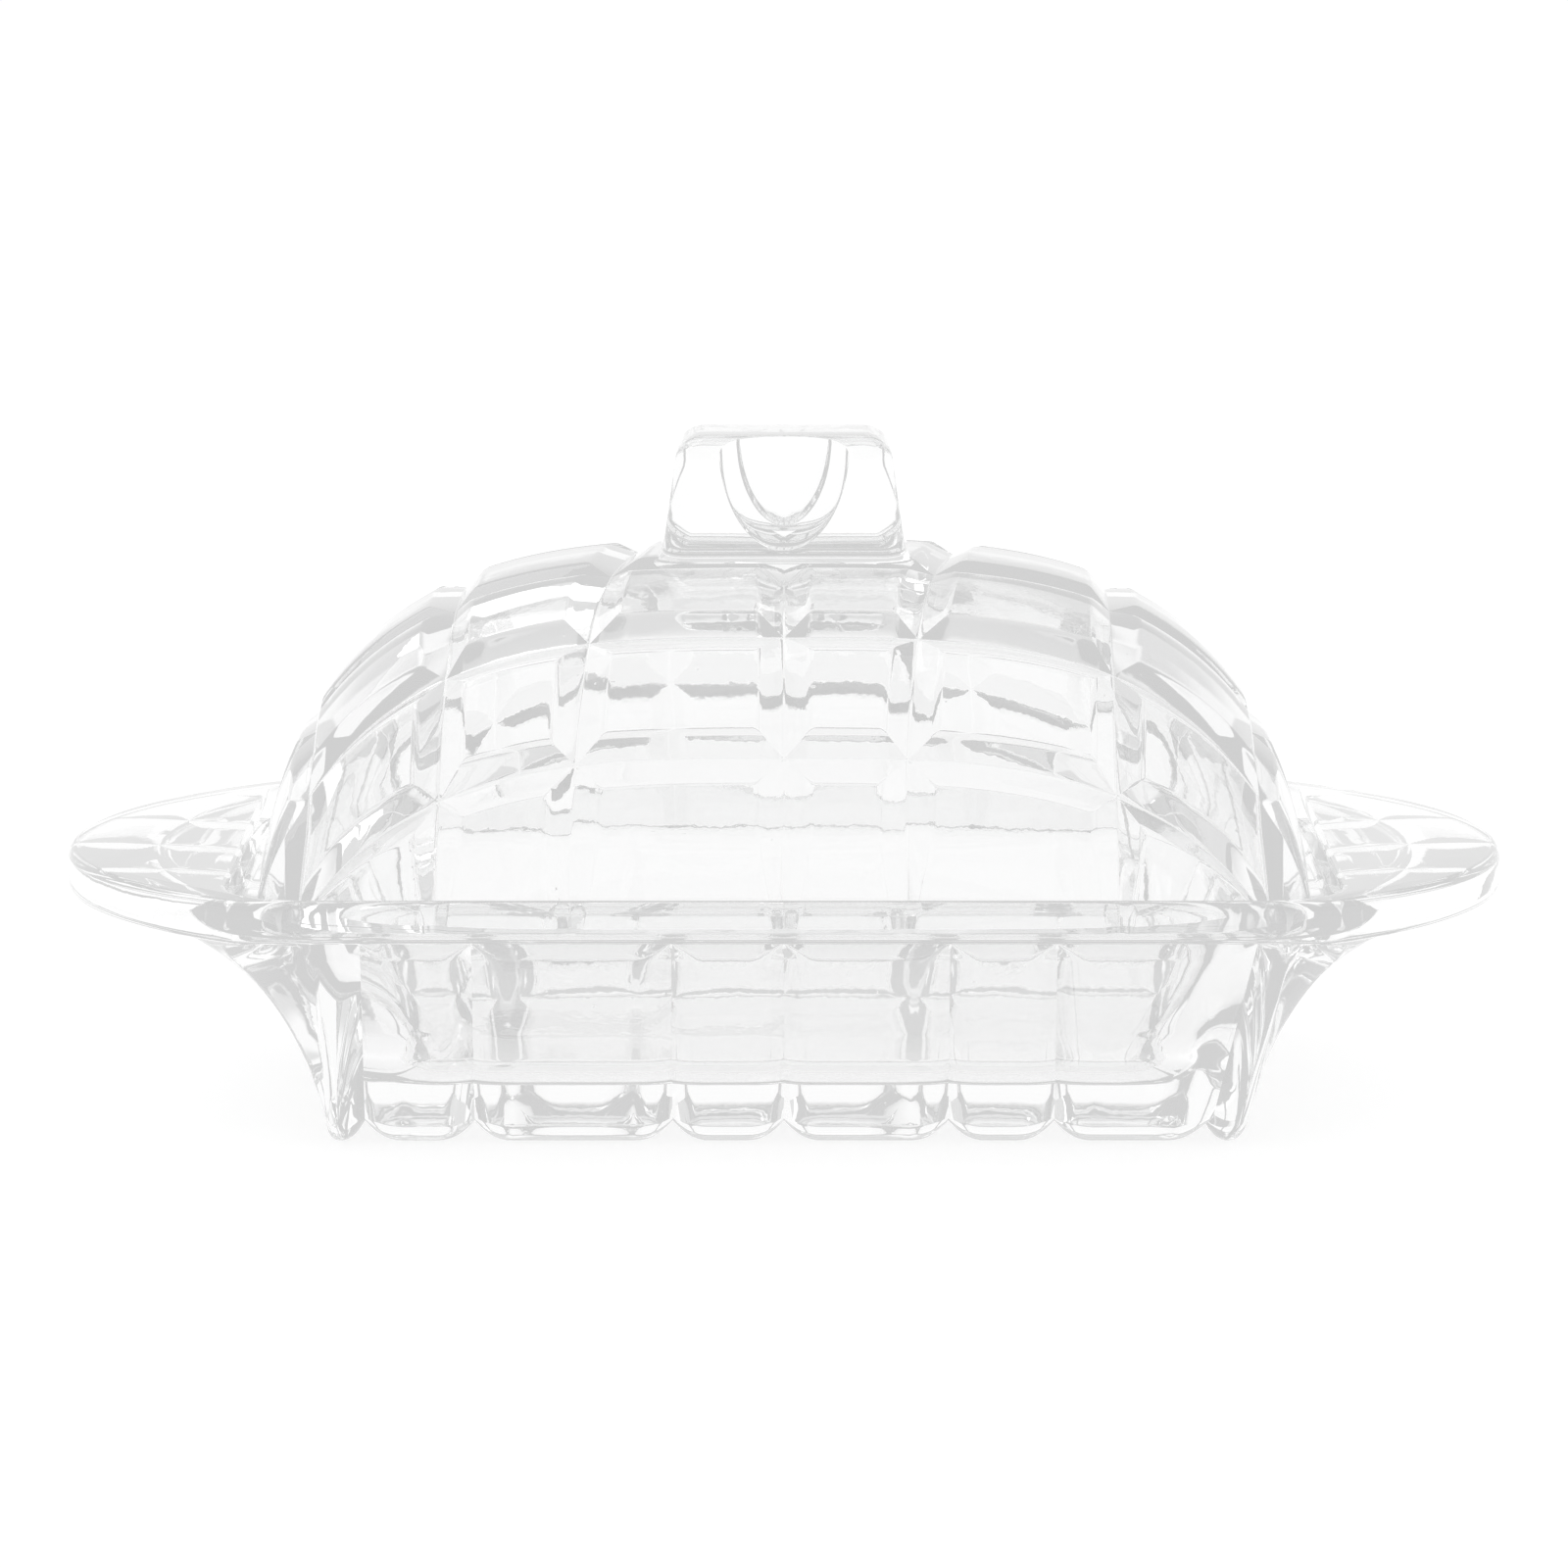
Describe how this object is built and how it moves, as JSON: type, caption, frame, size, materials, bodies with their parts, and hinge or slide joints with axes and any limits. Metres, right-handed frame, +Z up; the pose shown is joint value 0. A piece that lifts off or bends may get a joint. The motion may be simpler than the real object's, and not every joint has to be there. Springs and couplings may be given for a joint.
{
  "type": "butter dish",
  "caption": "Pressed-glass butter dish with an oblong eared tray and a domed block-patterned lid that lifts off by its knob.",
  "frame": {"origin": "on the surface that the dish stands on, under the middle of the tray's foot", "axes": "+X along the dish from ear to ear, +Y across it to the back, +Z up through the lid's knob"},
  "size_m": [0.2, 0.104, 0.0918],
  "materials": {
    "clear_glass": "clear fire-polished pressed glass"
  },
  "bodies": {
    "tray": {"tray": "clear_glass"},
    "lid": {"lid": "clear_glass"}
  },
  "joints": [
    {"name": "lid_lift", "type": "slide", "parent": "tray", "child": "lid", "axis": [0, 0, 1], "range_m": [0, 0.12]}
  ]
}
